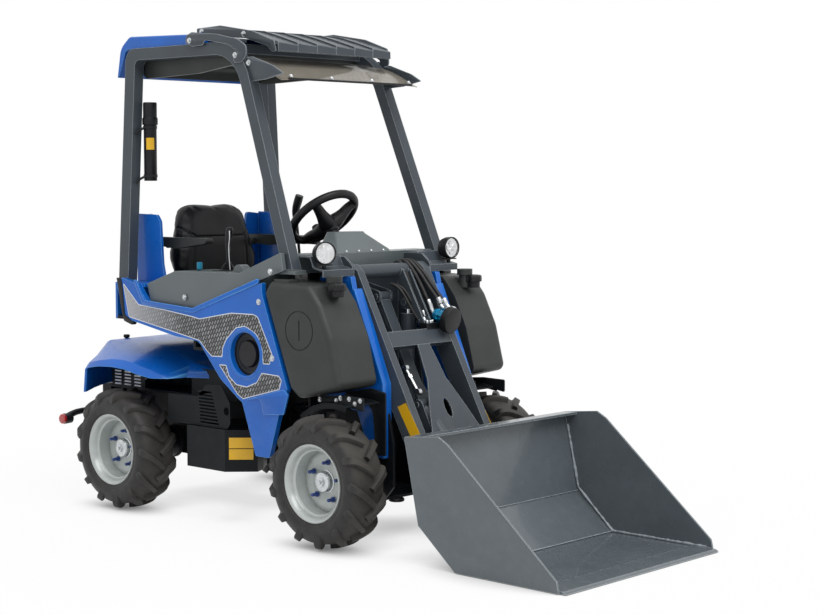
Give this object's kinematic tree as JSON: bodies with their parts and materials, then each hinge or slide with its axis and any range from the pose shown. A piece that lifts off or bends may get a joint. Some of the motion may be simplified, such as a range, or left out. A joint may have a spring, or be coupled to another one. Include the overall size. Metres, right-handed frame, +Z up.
{
  "type": "compact articulated wheel loader",
  "caption": "Small articulated wheel loader with an open roll-over cab, a raised boom with a tilting bucket, and lugged tyres.",
  "frame": {"origin": "on the ground, at the middle of the overall length and width", "axes": "+X forward towards the bucket, +Y to the machine's left, +Z up"},
  "size_m": [3.08, 1.284, 2.2751],
  "materials": {
    "black_paint": "satin",
    "black_plastic": "matte",
    "blue_paint": "gloss",
    "bucket_grey": "satin",
    "cylinder_paint": "satin",
    "engine_iron": "rough",
    "grey_paint": "satin",
    "rim_silver": "satin",
    "rod_chrome": "polished",
    "seat_cover": "satin",
    "tyre_rubber": "matte",
    "visor_tint": "gloss"
  },
  "bodies": {
    "front_frame": {"front_chassis": "black_paint", "front_wheel_motors": "black_paint", "boom_tower": "grey_paint", "mast_fairings": "blue_paint", "cab_floor": "black_paint", "cab_panel_right": "blue_paint", "cab_panel_left": "blue_paint", "consoles": "black_plastic", "rear_shroud": "blue_paint", "seat_base": "black_paint", "seat_cushion": "seat_cover", "seat_back": "seat_cover", "armrests": "black_plastic", "roll_over_frame": "grey_paint", "roof_cap": "blue_paint", "roof_liner": "black_plastic", "roof_guard": "black_paint", "visor": "visor_tint", "tank_right": "black_plastic", "tank_left": "black_plastic", "inner_fenders": "black_paint", "dash": "grey_paint", "steering_column": "black_plastic", "work_lamps": "black_plastic", "document_tube": "black_plastic", "control_levers": "black_plastic", "air_intakes": "black_plastic"},
    "rear_frame": {"rear_chassis": "black_paint", "rear_wheel_motors": "black_paint", "engine": "engine_iron", "hood": "blue_paint", "louvre_panels": "black_paint", "side_boxes": "black_paint", "counterweight": "black_paint", "rear_grille": "black_paint", "marker_lamps": "black_plastic"},
    "wheel_front_right": {"tyre_front_right": "tyre_rubber", "rim_front_right": "rim_silver"},
    "wheel_front_left": {"tyre_front_left": "tyre_rubber", "rim_front_left": "rim_silver"},
    "wheel_rear_right": {"tyre_rear_right": "tyre_rubber", "rim_rear_right": "rim_silver"},
    "wheel_rear_left": {"tyre_rear_left": "tyre_rubber", "rim_rear_left": "rim_silver"},
    "steering_wheel_body": {"steering_wheel": "black_plastic"},
    "boom_body": {"boom": "grey_paint", "hose_coupler": "black_paint"},
    "levelling_link_body": {"levelling_link": "grey_paint"},
    "tilt_carrier_body": {"tilt_carrier": "grey_paint"},
    "bucket_body": {"bucket": "bucket_grey", "hitch_frame": "bucket_grey"},
    "lift_barrel_body": {"lift_barrel": "cylinder_paint"},
    "lift_rod_body": {"lift_rod": "rod_chrome"},
    "tilt_barrel_body": {"tilt_barrel": "cylinder_paint"},
    "tilt_rod_body": {"tilt_rod": "rod_chrome"},
    "steer_barrel_body": {"steer_barrel": "cylinder_paint"},
    "steer_rod_body": {"steer_rod": "rod_chrome"}
  },
  "joints": [
    {"name": "articulation", "type": "hinge", "parent": "front_frame", "child": "rear_frame", "pos_m": [-0.4285, 0, 0.38], "axis": [0, 0, 1], "range_deg": [-38, 38]},
    {"name": "front_right_wheel_spin", "type": "hinge", "parent": "front_frame", "child": "wheel_front_right", "pos_m": [0.26, -0.535, 0.288], "axis": [0, 1, 0], "continuous": true},
    {"name": "front_left_wheel_spin", "type": "hinge", "parent": "front_frame", "child": "wheel_front_left", "pos_m": [0.26, 0.535, 0.288], "axis": [0, 1, 0], "continuous": true},
    {"name": "rear_right_wheel_spin", "type": "hinge", "parent": "rear_frame", "child": "wheel_rear_right", "pos_m": [-1.117, -0.535, 0.288], "axis": [0, 1, 0], "continuous": true},
    {"name": "rear_left_wheel_spin", "type": "hinge", "parent": "rear_frame", "child": "wheel_rear_left", "pos_m": [-1.117, 0.535, 0.288], "axis": [0, 1, 0], "continuous": true},
    {"name": "steering_wheel_turn", "type": "hinge", "parent": "front_frame", "child": "steering_wheel_body", "pos_m": [-0.305, 0, 1.395], "axis": [0.6665, 0, -0.7455], "range_deg": [-690, 690]},
    {"name": "boom_lift", "type": "hinge", "parent": "front_frame", "child": "boom_body", "pos_m": [0.095, 0, 1.163], "axis": [0, -1, 0], "range_deg": [0, 105]},
    {"name": "levelling_link_turn", "type": "hinge", "parent": "front_frame", "child": "levelling_link_body", "pos_m": [0.076, 0, 1.044], "axis": [0, -1, 0], "range_deg": [0, 105.5]},
    {"name": "carrier_level", "type": "hinge", "parent": "boom_body", "child": "tilt_carrier_body", "pos_m": [0.605, 0, 0.22], "axis": [0, -1, 0], "range_deg": [-105.5, 0]},
    {"name": "bucket_tilt", "type": "hinge", "parent": "tilt_carrier_body", "child": "bucket_body", "pos_m": [0.605, 0, 0.22], "axis": [0, 1, 0], "range_deg": [-30, 50]},
    {"name": "lift_barrel_turn", "type": "hinge", "parent": "front_frame", "child": "lift_barrel_body", "pos_m": [0.14, 0.1, 0.4], "axis": [0, -1, 0], "range_deg": [-8.37, 0]},
    {"name": "lift_rod_slide", "type": "slide", "parent": "lift_barrel_body", "child": "lift_rod_body", "axis": [-0.0001, 0, 1], "range_m": [0, 0.19989]},
    {"name": "tilt_barrel_turn", "type": "hinge", "parent": "tilt_carrier_body", "child": "tilt_barrel_body", "pos_m": [0.405, -0.09, 0.59], "axis": [0, -1, 0], "range_deg": [-1.41, 2.22]},
    {"name": "tilt_rod_slide", "type": "slide", "parent": "tilt_barrel_body", "child": "tilt_rod_body", "axis": [0.6794, 0, -0.7338], "range_m": [-0.04919, 0.08165]},
    {"name": "steer_barrel_turn", "type": "hinge", "parent": "front_frame", "child": "steer_barrel_body", "pos_m": [-0.1285, 0.08, 0.532], "axis": [0, 0, 1], "range_deg": [-11.39, 11.39]},
    {"name": "steer_rod_slide", "type": "slide", "parent": "steer_barrel_body", "child": "steer_rod_body", "axis": [-0.9889, 0.1483, 0], "range_m": [-0.0817, 0.0817]}
  ],
  "couplings": [
    {"joint": "steering_wheel_turn", "follows": "articulation", "ratio": 18},
    {"joint": "levelling_link_turn", "follows": "boom_lift", "ratio": 1},
    {"joint": "carrier_level", "follows": "boom_lift", "ratio": -1},
    {"joint": "lift_barrel_turn", "follows": "boom_lift", "ratio": -0.076274},
    {"joint": "lift_rod_slide", "follows": "boom_lift", "m_per_rad": 0.10667},
    {"joint": "tilt_barrel_turn", "follows": "bucket_tilt", "ratio": 0.039518},
    {"joint": "tilt_rod_slide", "follows": "bucket_tilt", "m_per_rad": 0.091164},
    {"joint": "steer_barrel_turn", "follows": "articulation", "ratio": 0.28877},
    {"joint": "steer_rod_slide", "follows": "articulation", "m_per_rad": 0.12003}
  ]
}
